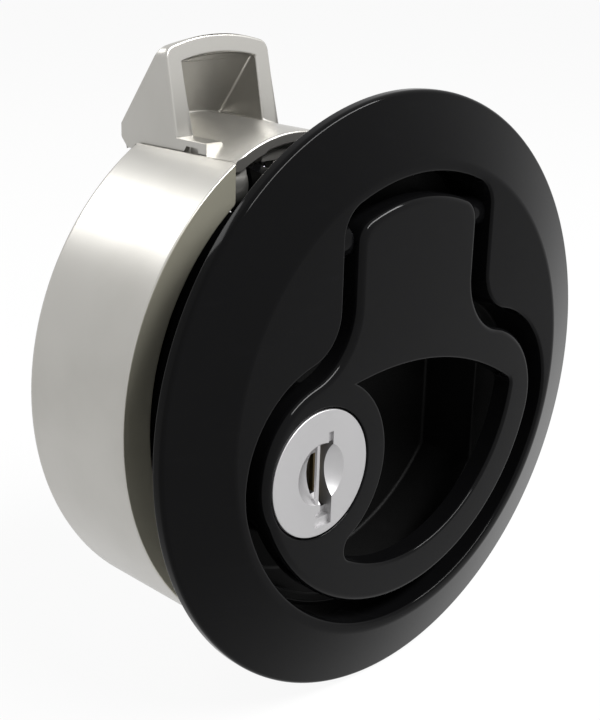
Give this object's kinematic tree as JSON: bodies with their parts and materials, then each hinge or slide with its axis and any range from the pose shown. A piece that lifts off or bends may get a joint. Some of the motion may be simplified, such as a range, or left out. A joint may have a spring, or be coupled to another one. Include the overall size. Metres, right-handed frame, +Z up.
{
  "type": "push-to-close latch",
  "caption": "Round flush slam latch with a hinged lift handle, a key lock, a swinging ramp pawl and a rear clamp cup.",
  "frame": {"origin": "on the latch axis, in the back plane of the bezel flange, which lies on the panel's front face", "axes": "X to the viewer's right, front faces -Y, +Z up towards the pawl, +Y into the panel"},
  "size_m": [0.0762, 0.0349, 0.0811],
  "materials": {
    "black_housing": "gloss black moulding",
    "black_handle": "gloss black moulding",
    "satin_zinc": "satin nickel plated zinc casting",
    "satin_lock": "satin plated lock face",
    "steel_pin": "ground steel",
    "link_steel": "zinc plated sheet steel",
    "spring_wire": "drawn wire",
    "dark_clip": "phosphated spring steel",
    "zinc_screw": "zinc plated",
    "brass_sleeve": "machined brass",
    "brass_wafer": "stamped brass",
    "rubber_buffer": "moulded rubber"
  },
  "bodies": {
    "housing": {"bezel_housing": "black_housing", "handle_pin": "steel_pin", "handle_pin_clips": "dark_clip", "pawl_pin": "steel_pin", "pawl_pin_clips": "dark_clip", "clamp_cup": "satin_zinc", "clamp_screws": "zinc_screw", "clamp_washers": "zinc_screw", "handle_buffer": "rubber_buffer"},
    "handle": {"handle": "black_handle", "handle_spring": "spring_wire", "link_pin_front": "steel_pin", "link_clip_front": "dark_clip", "lock_sleeve": "brass_sleeve", "sleeve_clip": "dark_clip"},
    "pawl": {"pawl": "satin_zinc", "pawl_spring": "spring_wire", "link_pin_rear": "steel_pin", "link_clip_rear": "dark_clip"},
    "link": {"pull_link": "link_steel"},
    "lock": {"lock_plug": "satin_lock", "lock_wafers": "brass_wafer", "lock_tongue": "link_steel", "tongue_washer": "zinc_screw", "tongue_screw": "zinc_screw"}
  },
  "joints": [
    {"name": "handle_swing", "type": "hinge", "parent": "housing", "child": "handle", "pos_m": [0, -0.0012, 0.0219], "axis": [-1, 0, 0], "range_deg": [0, 35], "stiffness_Nm_per_rad": 0.03, "springref_deg": -20.05},
    {"name": "pawl_swing", "type": "hinge", "parent": "housing", "child": "pawl", "pos_m": [-0.0094, 0.0125, 0.027], "axis": [-1, 0, 0], "range_deg": [0, 35], "stiffness_Nm_per_rad": 0.03, "springref_deg": -20.05},
    {"name": "link_turn", "type": "hinge", "parent": "handle", "child": "link", "pos_m": [-0.0075, -0.0012, 0.0144], "axis": [-1, 0, 0], "range_deg": [-35, 0]},
    {"name": "lock_turn", "type": "hinge", "parent": "handle", "child": "lock", "pos_m": [-0.0163, 0, -0.0048], "axis": [0, 1, 0], "range_deg": [0, 90]}
  ],
  "couplings": [
    {"joint": "pawl_swing", "follows": "handle_swing", "ratio": 1},
    {"joint": "link_turn", "follows": "handle_swing", "ratio": -1}
  ]
}
